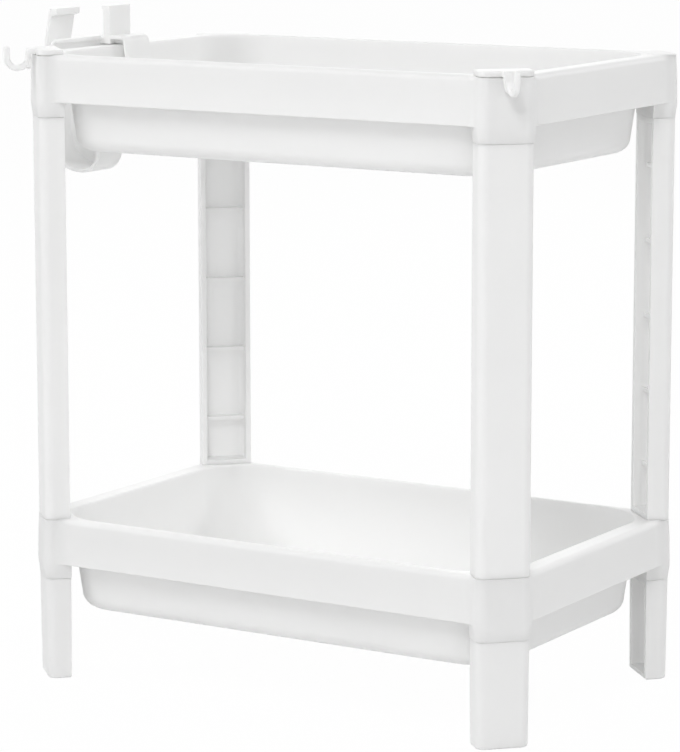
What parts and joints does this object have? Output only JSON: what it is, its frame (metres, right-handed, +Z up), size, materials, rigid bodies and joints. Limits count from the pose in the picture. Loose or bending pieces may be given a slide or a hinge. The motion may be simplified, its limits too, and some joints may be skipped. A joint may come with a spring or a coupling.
{
  "type": "tower organizer",
  "caption": "White plastic tray rack: deep trays carried one above the other on channel posts and feet, with hooks at the front corners and a clip-on holder on the left rim.",
  "frame": {"origin": "on the floor, under the middle of the box round the whole rack with its hooks and holder", "axes": "+Z up, X along the long sides with the holder on the -X end, the front with the hooks at -Y"},
  "size_m": [0.4052, 0.2338, 0.425],
  "materials": {
    "tray_plastic": "smooth white moulded polypropylene with a soft sheen",
    "post_plastic": "smooth white moulded polypropylene, a little duller than the trays",
    "cap_plastic": "smooth white moulded plastic",
    "holder_plastic": "smooth white moulded plastic"
  },
  "bodies": {
    "rack": {"upper_tray": "tray_plastic", "lower_tray": "tray_plastic", "post_front_left": "post_plastic", "post_front_right": "post_plastic", "post_back_left": "post_plastic", "post_back_right": "post_plastic", "foot_front_left": "post_plastic", "foot_front_right": "post_plastic", "foot_back_left": "post_plastic", "foot_back_right": "post_plastic"},
    "holder": {"side_holder": "holder_plastic"},
    "hook_front_left": {"hook_cap_front_left": "cap_plastic"},
    "hook_front_right": {"hook_cap_front_right": "cap_plastic"},
    "cap_back_left": {"corner_cap_back_left": "cap_plastic"},
    "cap_back_right": {"corner_cap_back_right": "cap_plastic"}
  },
  "joints": [
    {"name": "holder_slide", "type": "slide", "parent": "rack", "child": "holder", "axis": [0, 1, 0], "range_m": [-0.01, 0.06]},
    {"name": "hook_front_left_lift", "type": "slide", "parent": "rack", "child": "hook_front_left", "axis": [0, 0, 1], "range_m": [0, 0.0125]},
    {"name": "hook_front_right_lift", "type": "slide", "parent": "rack", "child": "hook_front_right", "axis": [0, 0, 1], "range_m": [0, 0.0125]},
    {"name": "cap_back_left_lift", "type": "slide", "parent": "rack", "child": "cap_back_left", "axis": [0, 0, 1], "range_m": [0, 0.0125]},
    {"name": "cap_back_right_lift", "type": "slide", "parent": "rack", "child": "cap_back_right", "axis": [0, 0, 1], "range_m": [0, 0.0125]}
  ]
}
